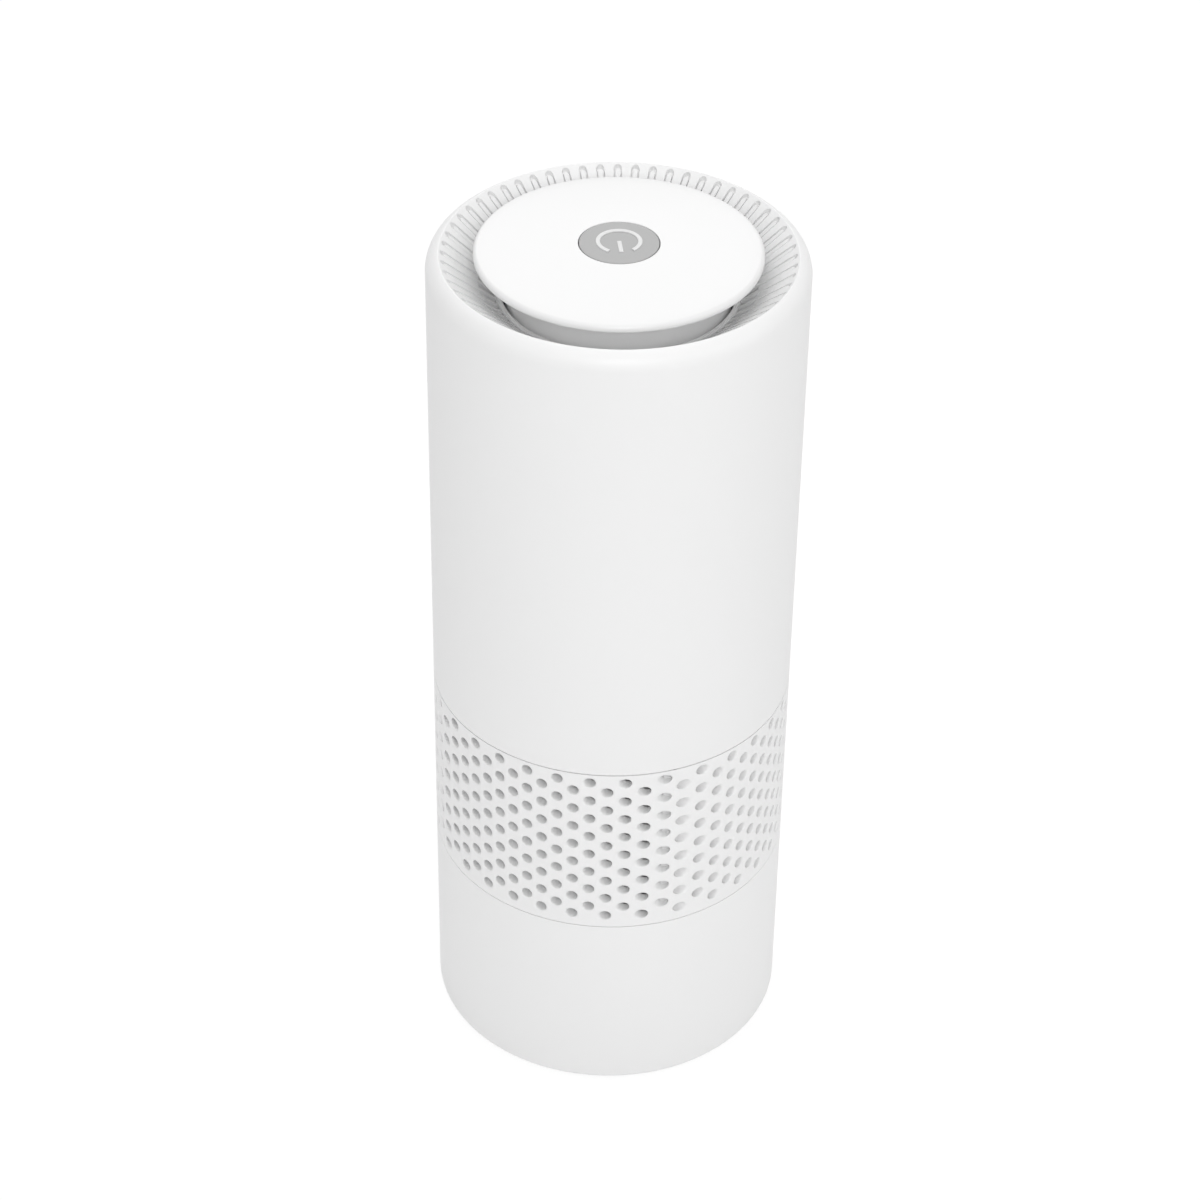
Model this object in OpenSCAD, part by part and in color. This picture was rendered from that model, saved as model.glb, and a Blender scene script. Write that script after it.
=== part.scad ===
// Portable tower air purifier: a plain cylinder that stands on its base.
// Air enters through the perforated band, crosses a pleated filter from outside to inside,
// is lifted by a centrifugal fan and leaves through the slotted funnel round the top cap.
// The origin is the centre of the resting face, +Z is up, and the front (-Y) is where the
// bar of the power symbol points. Lengths are in millimetres.

/* [Body] */
// Outer diameter of the body
body_d = 67; // [65:0.5:80]
// Wall of the base, the band and the housing
wall = 2.2; // [2:0.1:2.6]
// Height of the base cup, up to the lower seam
base_h = 39.9; // [36:0.1:60]
// Height of the perforated band between the two seams
band_h = 36.8; // [36.8:0.1:60]
// Height of the upper housing, from the upper seam to its crest
housing_h = 89.8; // [88:0.1:120]
// Radius of the rounding round the top edge
top_round = 3.6; // [2.5:0.1:4]
// Width of the rounded rim, from the outer wall to the funnel
crest_w = 2.3; // [2.3:0.1:3.6]
// Height of the shadow line at each seam
seam_gap = 0.2; // [0.1:0.05:0.5]
// Depth of the shadow line at each seam
seam_depth = 0.8; // [0.4:0.1:1]

/* [Base] */
// Thickness of the base floor
floor_t = 2.4; // [2:0.1:4]
// How far the rubber foot stands below the base
foot_proud = 0.4; // [0.2:0.1:1]
// Depth of the groove that holds the foot
foot_seat = 1.2; // [0.8:0.1:1.6]
// Width of the foot ring
foot_w = 7; // [4:0.5:9]
// Distance from the outer wall to the foot ring
foot_inset = 4.5; // [3:0.5:8]
// Diameter of the pin that the filter tray turns on
pin_d = 6; // [4:0.5:8]

/* [Bayonet] */
// Number of bayonet lugs
lug_count = 3; // [2:1:4]
// Angle that one lug spans
lug_angle = 12; // [8:1:16]
// Height of a lug
lug_t = 2; // [1.5:0.1:3]
// How far a lug stands out from the skirt
lug_out = 1.1; // [0.8:0.1:1.2]
// Angle that the base turns through to lock
twist_angle = 22; // [15:1:40]
// How far the skirt reaches into the base
skirt_h = 7.2; // [6:0.1:10]

/* [Perforations] */
// Diameter of a hole
hole_d = 2; // [1.4:0.1:2]
// Columns of holes in each quarter of the band
hole_cols = 16; // [8:2:16]
// Holes in each column
hole_rows = 8; // [4:1:8]
// Spacing of the holes up a column
hole_pitch_z = 4.27; // [4.2:0.01:4.27]
// Distance from the upper seam to the first hole centre
hole_top = 2.1; // [2.1:0.05:3]
// Turn of the quarters from the front
band_turn = -31.2; // [-45:0.1:45]

/* [Outlet] */
// Fall angle of the slotted funnel
funnel_angle = 37.7; // [30:0.1:40]
// Number of outlet slots
slot_count = 60; // [36:1:64]
// Width of a slot
slot_w = 1.5; // [1:0.05:1.5]
// Distance from the crest to the round end of a slot
slot_margin = 0.3; // [0.3:0.1:1.5]
// Turn of the slots from the front
slot_phase = 0; // [-3:0.1:3]
// Thickness of the funnel plate
grille_t = 2; // [1.6:0.1:2.4]
// Depth of the shallow outer part of a slot
slot_recess = 0.5; // [0.4:0.1:1.2]
// Share of a slot's length that is shallow
slot_share = 0.7; // [0.4:0.05:0.75]

/* [Top cap] */
// Diameter of the cap
cap_d = 50.4; // [44:0.1:52]
// Rise of the cap's dome from its rim to its centre
cap_rise = 1.3; // [1:0.1:3]
// Height of the cap's rim above the crest of the housing
cap_lift = 0.4; // [-0.5:0.1:2]
// Thickness of the cap at its rim
cap_edge = 1.4; // [1:0.1:2]
// Diameter of the light ring below the cap
neck_d = 39.4; // [38.8:0.1:41]
// Wall of the light ring
neck_wall = 1.6; // [1.2:0.1:2]
// Gap between the light ring and the lip round it
cup_gap = 0.8; // [0.5:0.1:1]
// Width of the lip round the light ring
lip_w = 0.8; // [0.6:0.1:1]

/* [Button] */
// Diameter of the power button
button_d = 13.9; // [10:0.1:16]
// Gap round the button
button_gap = 0.15; // [0.1:0.05:0.4]
// Travel of the button
button_travel = 0.5; // [0.3:0.05:0.7]
// Outer diameter of the power symbol
icon_d = 8.1; // [6:0.1:9]
// Stroke of the power symbol
icon_line = 0.78; // [0.6:0.02:1]
// Angle of the gap in the symbol's ring
icon_gap = 68; // [50:1:90]
// How far the symbol stands above the button
icon_proud = 0.15; // [0.05:0.05:0.3]

/* [Filter] */
// Gap between the filter and the skirt round it
filter_gap = 2.2; // [1.8:0.1:4]
// Width of the filter's ring, from its open core to its outside
media_w = 14.2; // [12:0.1:15]
// Number of pleats
pleat_count = 56; // [30:1:70]
// Thickness of the pleated paper, measured along a radius
pleat_t = 1.4; // [1:0.1:2]
// Thickness of the foam seal on the filter
seal_t = 2; // [1:0.1:3]

/* [Fan] */
// Step from the filter's core to the wider air tube through the electronics bay
tube_step = 3; // [2.5:0.1:4]
// Gap between the impeller and the duct round it
impeller_gap = 2.9; // [2.4:0.1:4.5]
// Height of the impeller blades
blade_h = 10.2; // [8:0.1:14]
// Number of impeller blades
blade_count = 11; // [7:1:15]
// Thickness of an impeller blade
blade_t = 1; // [0.8:0.1:1.4]
// Outer diameter of the impeller hub
hub_d = 21; // [20:0.5:24]
// Diameter of the motor shaft
shaft_d = 2; // [1.5:0.1:3]
// Radial running clearance of the shaft in its bearing
shaft_gap = 0.04; // [0.02:0.01:0.08]
// Number of guide vanes above the impeller
vane_count = 9; // [7:2:11]

/* [Electronics] */
// Thickness of the circuit boards
board_t = 1.6; // [1:0.1:2]
// Height of the electronics bay above the bulkhead
bay_h = 17; // [15:0.5:24]
// Width of the charging socket
usb_w = 8.9; // [8.9:0.1:9.2]
// Height of the charging socket
usb_h = 3.2; // [3.2:0.1:3.4]

/* [Hidden] */

$fn = 120;

// Clearance of pieces that are assembled and stay put
fit_gap = 0.1;
// Clearance of pieces that move past each other
run_gap = 0.3;
// Overshoot of a cutting solid
cut = 1;

// Shared radii and levels of the shell
body_r = body_d / 2;
bore_r = body_r - wall;
skirt_r = bore_r - run_gap;
spigot_r = bore_r - fit_gap;
collar_w = 1.6;
collar_in = skirt_r - collar_w;
upper_seam = base_h + band_h;
crest_z = upper_seam + housing_h;
crest_r = body_r - crest_w;
rim_in = max(0, top_round - crest_w);
rim_z = crest_z - top_round + sqrt(top_round * top_round - rim_in * rim_in);
spigot_h = 6.8;
tab_out = 0.7;
tab_t = 1.2;
tab_angle = 16;

// Base, foot and tray
floor_top = foot_proud + floor_t;
foot_out = body_r - foot_inset;
foot_in = foot_out - foot_w;
base_round = 0.8;
pin_h = 1.6;
tray_t = 1.8;
tray_rim_h = 4.4;
tray_rim_w = 1.2;
filter_r = collar_in - filter_gap;
tray_in = filter_r + run_gap;
tray_r = tray_in + tray_rim_w;
lug_z = base_h - skirt_h + 1.2;
groove_r = skirt_r + lug_out + run_gap;
slack_angle = 1;

// Perforations, with the columns spread over each quarter
hole_pitch_x = body_r * sqrt(2) / hole_cols;
shelf_t = 1.6;
top_shelf_t = 0.9;

// Bulkhead and electronics bay
bulk_z = upper_seam + spigot_h;
bulk_t = 2;
ledge_w = 0.9;
bay_floor = bulk_z + bulk_t;
bay_top = bay_floor + bay_h;
cover_t = 1.6;
tube_in = filter_r - media_w + tube_step;
tube_t = 1.4;
tube_r = tube_in + tube_t;
tube_top = bay_top + cover_t + 1.4;
boss_r = 2.9;
boss_ring = bore_r - ledge_w - boss_r - 0.2;
boss_angles = [30, 150, 270];
post_r = 2.2;
post_h = 4;
post_inset = 5;
post_ring = tube_r + post_inset;
post_angles = [0, 120, 240];
board_z = bay_floor + post_h;
board_in = tube_r + 1;
board_out = bore_r - 1.7;
screw_r = 0.95;
screw_hole_r = screw_r + 0.15;
screw_head_r = 1.9;
screw_head_h = 1.4;
screw_seat_t = 3;
thread_l = 3;

// Filter, from the tray up to the bulkhead
filter_z = floor_top + tray_t;
filter_top = bulk_z - seal_t;
cap_plate = 1.4;
cap_rim_h = 5;
cap_rim_w = 1;
core_r = filter_r - media_w;
sleeve_t = 0.5;
sleeve_r = filter_r - cap_rim_w - fit_gap;
pleat_r = sleeve_r - sleeve_t - fit_gap;
core_t = 1.2;
pleat_in = core_r + core_t + fit_gap;
media_z = filter_z + cap_plate;
media_h = filter_top - filter_z - 2 * cap_plate;
seal_in = core_r + 2;
seal_out = filter_r - 3;

// Fan
duct_t = 1.4;
duct_r = boss_ring;
duct_in = duct_r - duct_t;
frame_z = bay_top + cover_t;
impeller_r = duct_in - impeller_gap;
shroud_in = tube_r + 0.5;
shroud_z = frame_z + 1;
shroud_t = 1.2;
blade_z = shroud_z + shroud_t;
back_t = 1.2;
back_z = blade_z + blade_h;
hub_r = hub_d / 2;
hub_t = 1.2;
hub_z = tube_top;
hub_top = back_z + back_t + 2.8;
rotor_t = 0.8;
magnet_t = 1.3;
rotor_r = hub_r - hub_t;
magnet_r = rotor_r - rotor_t;
stator_r = magnet_r - magnet_t - run_gap;
stator_h = 6;
hub_floor = hub_z + 1.6;
seat_z = hub_top + 1.4;
seat_t = 2;
vane_h = 8.6;
vane_t = 1.2;
duct_top = seat_z + vane_h;
shaft_r = shaft_d / 2;
bearing_in = shaft_r + shaft_gap;
bearing_r = bearing_in + 0.86;
bearing_tube_r = bearing_r + 0.9;
bearing_z = hub_floor + 2.4;
stator_z = bearing_z + 2.2;
pole_t = 0.9;
pole_w = 1.6;
coil_gap = 0.5;
coil_over = 1.3;
clip_z = seat_z - 1.1;

// Outlet and top module
funnel_slope = tan(funnel_angle);
neck_r = neck_d / 2;
cup_in = neck_r + cup_gap;
cup_r = cup_in + lip_w;
cup_floor_t = 2;
lip_z = rim_z - (crest_r - cup_r) * funnel_slope;
slot_out = crest_r - slot_margin;
slot_in = cup_r + 0.3;
slot_shallow = (slot_out - slot_in) * slot_share;
grille_drop = grille_t / cos(funnel_angle);
cap_r = cap_d / 2;
cap_rim_z = crest_z + cap_lift;
cap_under = cap_rim_z - cap_edge;
cap_top = cap_rim_z + cap_rise;
dome_r = (cap_r * cap_r + cap_rise * cap_rise) / (2 * cap_rise);
dome_z = cap_top - dome_r;
ledge_h = 1.2;

// Stack under the cap, from the cup's floor up: bosses, board, switch, plunger and button flange
board_rise = 7;
switch_h = 3.4;
plunger_out = 1.06;
button_flange_t = 1;
cup_top = cap_under - button_flange_t - plunger_out - switch_h - board_t - board_rise;
cup_z = cup_top - cup_floor_t;
top_board_z = cup_top + board_rise;
top_board_r = neck_r - neck_wall - run_gap;
cap_boss_r = 2.2;
cap_boss_inset = 4;
cap_boss_ring = neck_r - neck_wall - cap_boss_inset;
cap_boss_angles = [60, 180, 300];

// Button and switch
button_r = button_d / 2;
button_flange = 1.2;
button_z = cap_under - button_flange_t;
switch_w = 6;
plunger_r = 1.5;
plunger_seat = 1;
icon_pocket = 0.6;
icon_shift = 0.2;
bar_l = 3.6;

// Leads
wire_r = 0.6;
lead_ring = bore_r - 1.9;
plug_l = 3.2;
plug_w = 6;
plug_h = 4.2;
power_angle = 60;
motor_angle = 110;
lead_drop = 8;
power_cross = cup_z - lead_drop;
lead_rise = 4.6;
motor_cross = seat_z + lead_rise;
power_drop = 6;
motor_drop = 5;

// A ring between two radii
module ring(outer, inner, height) {
  rotate_extrude() translate([inner, 0]) square([outer - inner, height]);
}

// A stretch of a ring, centred on +X
module ring_part(outer, inner, height, angle) {
  rotate([0, 0, -angle / 2]) rotate_extrude(angle = angle)
    translate([inner, 0]) square([outer - inner, height]);
}

// Copies at the listed angles, on a circle
module at_angles(angles, radius) {
  for (a = angles) rotate([0, 0, a]) translate([radius, 0, 0]) children();
}

// Copies evenly round the axis
module around(count) {
  for (i = [0 : count - 1]) rotate([0, 0, 360 * i / count]) children();
}

// The space under the cap's dome
module under_dome(radius) {
  intersection() {
    translate([0, 0, dome_z]) sphere(r = dome_r, $fn = 360);
    translate([0, 0, cap_under - 4 * cap_edge]) cylinder(r = radius, h = cap_rise + 8 * cap_edge);
  }
}

// Base -----------------------------------------------------------------

module base_cup() {
  color("white") difference() {
    union() {
      rotate_extrude() difference() {
        union() {
          translate([0, foot_proud + base_round]) square([body_r, base_h - foot_proud - base_round]);
          translate([0, foot_proud]) square([body_r - base_round, base_round + cut]);
          translate([body_r - base_round, foot_proud + base_round]) circle(r = base_round, $fn = 48);
        }
        translate([-cut, floor_top]) square([bore_r + cut, base_h]);
        translate([body_r - seam_depth, base_h - seam_gap]) square([seam_depth + cut, seam_gap + cut]);
        translate([foot_in, foot_proud - cut]) square([foot_w, foot_seat + cut]);
        translate([-body_r, 0]) square([body_r, base_h + cut]);
      }
      translate([0, 0, floor_top - cut]) cylinder(d = pin_d, h = pin_h + cut);
    }
    around(lug_count) bayonet_groove();
  }
}

// An L-shaped groove: the lug drops in from the rim, then turns clockwise
module bayonet_groove() {
  entry_angle = lug_angle + 2 * slack_angle;
  turn_angle = twist_angle + entry_angle / 2;
  translate([0, 0, lug_z - 2 * run_gap])
    ring_part(groove_r + fit_gap, bore_r - cut, base_h, entry_angle);
  rotate([0, 0, -turn_angle / 2]) translate([0, 0, lug_z - run_gap])
    ring_part(groove_r, bore_r - cut, lug_t + 2 * run_gap, turn_angle);
}

module foot_ring() {
  tread_w = 0.6;
  color("dimgray") difference() {
    ring(foot_out - fit_gap, foot_in + fit_gap, foot_proud + foot_seat);
    for (r = [foot_in + foot_w / 3, foot_in + 2 * foot_w / 3])
      translate([0, 0, -foot_proud / 2]) ring(r + tread_w / 2, r - tread_w / 2, foot_proud);
  }
}

module filter_tray() {
  drain_r = 4;
  drain_ring = tray_r / 2 + 2;
  color("gainsboro") translate([0, 0, floor_top]) difference() {
    union() {
      cylinder(r = tray_r, h = tray_t);
      ring(tray_r, tray_in, tray_t + tray_rim_h);
    }
    translate([0, 0, -cut]) cylinder(r = pin_d / 2 + fit_gap, h = tray_t + 2 * cut);
    around(6) translate([drain_ring, 0, -cut]) cylinder(r = drain_r, h = tray_t + 2 * cut);
  }
}

// Filter ---------------------------------------------------------------

module filter_bottom_cap() {
  color("whitesmoke") translate([0, 0, filter_z]) {
    cylinder(r = filter_r, h = cap_plate);
    ring(filter_r, filter_r - cap_rim_w, cap_rim_h);
  }
}

module filter_top_cap() {
  color("whitesmoke") translate([0, 0, filter_top - cap_plate]) {
    ring(filter_r, core_r, cap_plate);
    translate([0, 0, cap_plate - cap_rim_h]) ring(filter_r, filter_r - cap_rim_w, cap_rim_h);
  }
}

module filter_seal() {
  color("dimgray") translate([0, 0, filter_top]) ring(seal_out, seal_in, seal_t);
}

module filter_core() {
  windows = 10;
  rows = 5;
  window_w = 5.2;
  bar_t = 4;
  pitch = media_h / rows;
  color("darkslategray") translate([0, 0, media_z]) difference() {
    ring(core_r + core_t, core_r, media_h);
    for (j = [0 : rows - 1]) around(windows)
      translate([core_r - cut, -window_w / 2, j * pitch + bar_t / 2])
        cube([core_t + 2 * cut, window_w, pitch - bar_t]);
  }
}

// One turn of the pleats as points on a zigzag
function pleat_points(outer, inner) = [for (i = [0 : 2 * pleat_count - 1])
  let (r = i % 2 == 0 ? outer : inner, a = 180 * i / pleat_count) [r * cos(a), r * sin(a)]];

module pleated_media() {
  color("ivory") translate([0, 0, media_z]) linear_extrude(height = media_h) difference() {
    polygon(pleat_points(pleat_r, pleat_in + pleat_t));
    polygon(pleat_points(pleat_r - pleat_t, pleat_in));
  }
}

module filter_sleeve() {
  color("lightgray") translate([0, 0, media_z]) ring(sleeve_r, sleeve_r - sleeve_t, media_h);
}

// Perforated band --------------------------------------------------------

// The holes of one quarter are all drawn in one direction, as its mould slide was
module quarter_holes() {
  rotate([90, 0, 0]) linear_extrude(height = body_r + cut)
    for (i = [0 : hole_cols - 1], j = [0 : hole_rows - 1]) {
      x = (i - (hole_cols - 1) / 2) * hole_pitch_x;
      z = upper_seam - hole_top - j * hole_pitch_z - (i % 2 == 0 ? hole_pitch_z / 2 : 0);
      translate([x, z]) circle(d = hole_d, $fn = 24);
    }
}

module inlet_band() {
  color("white") difference() {
    union() {
      rotate_extrude() difference() {
        polygon([
          [collar_in, base_h - skirt_h], [skirt_r, base_h - skirt_h], [skirt_r, base_h],
          [body_r, base_h], [body_r, upper_seam], [spigot_r, upper_seam],
          [spigot_r, bulk_z], [collar_in, bulk_z], [collar_in, upper_seam - top_shelf_t],
          [bore_r, upper_seam - top_shelf_t], [bore_r, base_h + shelf_t],
          [collar_in, base_h + shelf_t]]);
        translate([body_r - seam_depth, upper_seam - seam_gap])
          square([seam_depth + cut, seam_gap + cut]);
      }
      around(lug_count) translate([0, 0, lug_z])
        ring_part(skirt_r + lug_out, skirt_r - collar_w / 2, lug_t, lug_angle);
      around(3) translate([0, 0, upper_seam + spigot_h / 2])
        ring_part(spigot_r + tab_out, spigot_r - collar_w / 2, tab_t, tab_angle);
    }
    for (q = [0 : 3]) rotate([0, 0, band_turn + 90 * q]) quarter_holes();
  }
}

// Bulkhead and electronics bay --------------------------------------------

module bulkhead() {
  color("gainsboro") difference() {
    union() {
      translate([0, 0, bulk_z]) ring(bore_r - fit_gap, tube_in, bulk_t);
      translate([0, 0, bulk_z]) ring(tube_r, tube_in, tube_top - bulk_z);
      translate([0, 0, bay_floor]) at_angles(boss_angles, boss_ring) cylinder(r = boss_r, h = bay_h);
      translate([0, 0, bay_floor]) at_angles(post_angles, post_ring) cylinder(r = post_r, h = post_h);
    }
    translate([0, 0, bulk_z - cut]) at_angles(boss_angles, boss_ring) {
      cylinder(r = screw_hole_r, h = bay_top - bulk_z + 2 * cut, $fn = 32);
      cylinder(r = screw_head_r + fit_gap, h = bay_top - bulk_z - screw_seat_t + cut, $fn = 48);
    }
    translate([0, 0, board_z - thread_l - fit_gap]) at_angles(post_angles, post_ring)
      cylinder(r = screw_r, h = post_h, $fn = 32);
  }
}

// A ring board round the air tube, with notches for the tall bosses
module main_board() {
  color("seagreen") translate([0, 0, board_z]) difference() {
    ring(board_out, board_in, board_t);
    at_angles(boss_angles, boss_ring) translate([0, 0, -cut])
      cylinder(r = boss_r + run_gap, h = board_t + 2 * cut);
    at_angles(post_angles, post_ring) translate([0, 0, -cut])
      cylinder(r = screw_r + fit_gap, h = board_t + 2 * cut, $fn = 32);
  }
}

// Chip packages, a coil, a capacitor and two plug sockets, each a separate solid on the board
module board_components() {
  controller = [5, 5, 1.6];
  regulator = [4, 3, 1.2];
  diode = [3, 1.6, 1];
  choke_r = 3;
  choke_h = 3.6;
  capacitor_r = 2.5;
  capacitor_h = 7;
  chips = [[190, controller], [215, regulator], [74, diode]];
  cans = [[320, choke_r, choke_h], [345, capacitor_r, capacitor_h]];
  ring_mid = (board_in + board_out) / 2;
  color("dimgray") translate([0, 0, board_z + board_t]) {
    for (c = chips) rotate([0, 0, c[0]])
      translate([ring_mid - c[1].x / 2, -c[1].y / 2, 0]) cube(c[1]);
    for (c = cans) rotate([0, 0, c[0]]) translate([ring_mid, 0, 0]) cylinder(r = c[1], h = c[2]);
    for (a = [power_angle, motor_angle]) rotate([0, 0, a])
      translate([lead_ring - plug_l, -plug_w / 2, 0]) cube([plug_l + 0.2, plug_w, plug_h]);
  }
}

// The outline of the charging socket: a slot with round ends
module usb_outline(grow) {
  r = usb_h / 2 + grow;
  flat = usb_w - usb_h;
  translate([-flat / 2, 0]) circle(r = r, $fn = 48);
  translate([flat / 2, 0]) circle(r = r, $fn = 48);
  translate([-flat / 2, -r]) square([flat, 2 * r]);
}

module usb_socket() {
  depth = 7.3;
  mouth = body_r - 0.7;
  shell = 0.3;
  tongue_w = 6.6;
  tongue_t = 0.7;
  color("silver") translate([0, mouth, board_z + board_t + usb_h / 2]) rotate([90, 0, 0]) {
    difference() {
      linear_extrude(height = depth) usb_outline(0);
      translate([0, 0, -cut]) linear_extrude(height = depth - 1 + cut) usb_outline(-shell);
    }
    translate([-tongue_w / 2, -tongue_t / 2, 1]) cube([tongue_w, tongue_t, depth - 1.5]);
  }
}

module board_screws() {
  color("silver") translate([0, 0, board_z + board_t]) at_angles(post_angles, post_ring)
    screw(board_t + thread_l);
}

// A pan screw with a cross recess, its head's seat at z = 0 and its shank below
module screw(length) {
  cross_l = 2.2;
  cross_w = 0.4;
  cross_h = 0.6;
  difference() {
    union() {
      cylinder(r = screw_head_r, h = screw_head_h, $fn = 48);
      translate([0, 0, -length]) cylinder(r = screw_r, h = length + screw_head_h / 2, $fn = 32);
    }
    for (a = [0, 90]) rotate([0, 0, a])
      translate([-cross_l / 2, -cross_w / 2, screw_head_h - cross_h]) cube([cross_l, cross_w, cut]);
  }
}

module bay_cover() {
  color("gainsboro") translate([0, 0, bay_top]) difference() {
    ring(bore_r - run_gap, tube_r + run_gap, cover_t);
    at_angles(boss_angles, boss_ring) translate([0, 0, -cut])
      cylinder(r = screw_hole_r, h = cover_t + 2 * cut, $fn = 32);
    for (a = [power_angle, motor_angle]) rotate([0, 0, a]) translate([lead_ring, 0, -cut])
      cylinder(r = wire_r + run_gap, h = cover_t + 2 * cut, $fn = 32);
  }
}

// Fan ------------------------------------------------------------------

module fan_frame() {
  foot_h = 5;
  vane_in = hub_r - hub_t / 2;
  vane_out = duct_in + duct_t / 2;
  color("gainsboro") difference() {
    union() {
      translate([0, 0, frame_z]) ring(duct_r, duct_in, duct_top - frame_z);
      translate([0, 0, frame_z]) at_angles(boss_angles, boss_ring) cylinder(r = boss_r, h = foot_h);
      translate([0, 0, seat_z]) cylinder(r = hub_r, h = seat_t);
      translate([0, 0, seat_z]) ring(hub_r, hub_r - hub_t, vane_h);
      translate([0, 0, bearing_z]) cylinder(r = bearing_tube_r, h = seat_z - bearing_z + cut);
      translate([0, 0, seat_z]) around(vane_count)
        translate([vane_in, -vane_t / 2, 0]) cube([vane_out - vane_in, vane_t, vane_h]);
    }
    translate([0, 0, frame_z - cut]) cylinder(r = duct_in, h = foot_h + 2 * cut);
    translate([0, 0, frame_z - cut]) at_angles(boss_angles, boss_ring)
      cylinder(r = screw_r, h = foot_h, $fn = 32);
    translate([0, 0, bearing_z - cut]) cylinder(r = bearing_r, h = seat_z - bearing_z + cut);
    rotate([0, 0, motor_angle]) {
      translate([motor_drop, 0, seat_z - cut])
        cylinder(r = wire_r + run_gap, h = seat_t + 2 * cut, $fn = 32);
      translate([0, 0, motor_cross]) rotate([0, 90, 0])
        cylinder(r = wire_r + run_gap, h = duct_r + cut, $fn = 32);
    }
  }
}

module fan_screws() {
  color("silver") translate([0, 0, bay_top - screw_seat_t]) at_angles(boss_angles, boss_ring)
    mirror([0, 0, 1]) screw(screw_seat_t + cover_t + thread_l);
}

module sleeve_bearing() {
  color("goldenrod") translate([0, 0, bearing_z + 0.2])
    ring(bearing_r, bearing_in, clip_z - bearing_z - 0.6);
}

// Six poles round the bearing tube
module stator_core() {
  shoe_angle = 44;
  pole_in = bearing_tube_r + pole_t / 2;
  color("slategray") translate([0, 0, stator_z]) {
    ring(bearing_tube_r + pole_t, bearing_tube_r, stator_h);
    around(6) {
      translate([pole_in, -pole_w / 2, 0]) cube([stator_r - pole_t / 2 - pole_in, pole_w, stator_h]);
      ring_part(stator_r, stator_r - pole_t, stator_h, shoe_angle);
    }
  }
}

module stator_coils() {
  coil_w = 2.9;
  start = bearing_tube_r + pole_t + coil_gap;
  length = stator_r - pole_t - coil_gap - start;
  color("peru") translate([0, 0, stator_z]) around(6) difference() {
    translate([start, -coil_w / 2, -coil_over]) cube([length, coil_w, stator_h + 2 * coil_over]);
    translate([start - cut, -pole_w / 2, 0]) cube([length + 2 * cut, pole_w, stator_h]);
  }
}

// A backward-curved blade: a stretch of a thin ring about a point off the axis
module blade() {
  curve_r = 17;
  sweep = 62;
  inlet = [hub_r + 1, -1.2];
  translate([inlet.x, inlet.y + curve_r, 0]) rotate([0, 0, -90]) rotate_extrude(angle = sweep)
    translate([curve_r - blade_t / 2, 0]) square([blade_t, blade_h]);
}

module impeller() {
  color("white") union() {
    translate([0, 0, shroud_z]) ring(impeller_r, shroud_in, shroud_t);
    translate([0, 0, back_z]) ring(impeller_r, hub_r - hub_t / 2, back_t);
    translate([0, 0, hub_z]) difference() {
      cylinder(r = hub_r, h = hub_top - hub_z);
      translate([0, 0, hub_floor - hub_z]) cylinder(r = rotor_r, h = hub_top - hub_z);
      translate([0, 0, 0.6]) cylinder(r = shaft_r, h = hub_floor - hub_z, $fn = 48);
    }
    translate([0, 0, blade_z]) intersection() {
      around(blade_count) blade();
      ring(impeller_r, hub_r - hub_t / 2, blade_h);
    }
  }
}

module rotor_ring() {
  color("dimgray") translate([0, 0, hub_floor + 0.4]) ring(rotor_r, magnet_r, hub_top - hub_floor - 0.4);
}

module magnet_ring() {
  color("black") translate([0, 0, stator_z - 0.5]) ring(magnet_r, magnet_r - magnet_t, stator_h + 1);
}

module motor_shaft() {
  color("silver") translate([0, 0, hub_z + 0.6]) cylinder(r = shaft_r, h = seat_z - hub_z - 0.8, $fn = 48);
}

module shaft_clip() {
  color("dimgray") translate([0, 0, clip_z]) ring(bearing_r - run_gap, shaft_r, 0.5);
}

// Leads ----------------------------------------------------------------

// A lead that climbs, crosses inward at one level, and ends on the axis side
module lead(start, climb, inner, finish) {
  translate([lead_ring, 0, start]) cylinder(r = wire_r, h = climb - start, $fn = 24);
  translate([lead_ring, 0, climb]) sphere(r = wire_r, $fn = 24);
  translate([inner, 0, climb]) rotate([0, 90, 0]) cylinder(r = wire_r, h = lead_ring - inner, $fn = 24);
  translate([inner, 0, climb]) sphere(r = wire_r, $fn = 24);
  translate([inner, 0, min(climb, finish)]) cylinder(r = wire_r, h = abs(climb - finish), $fn = 24);
}

module power_lead() {
  color("firebrick") rotate([0, 0, power_angle])
    lead(board_z + board_t + plug_h, power_cross, power_drop, top_board_z);
}

module motor_lead() {
  color("dimgray") rotate([0, 0, motor_angle])
    lead(board_z + board_t + plug_h, motor_cross, motor_drop, stator_z + stator_h + coil_over);
}

// Upper housing and outlet -------------------------------------------------

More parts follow.
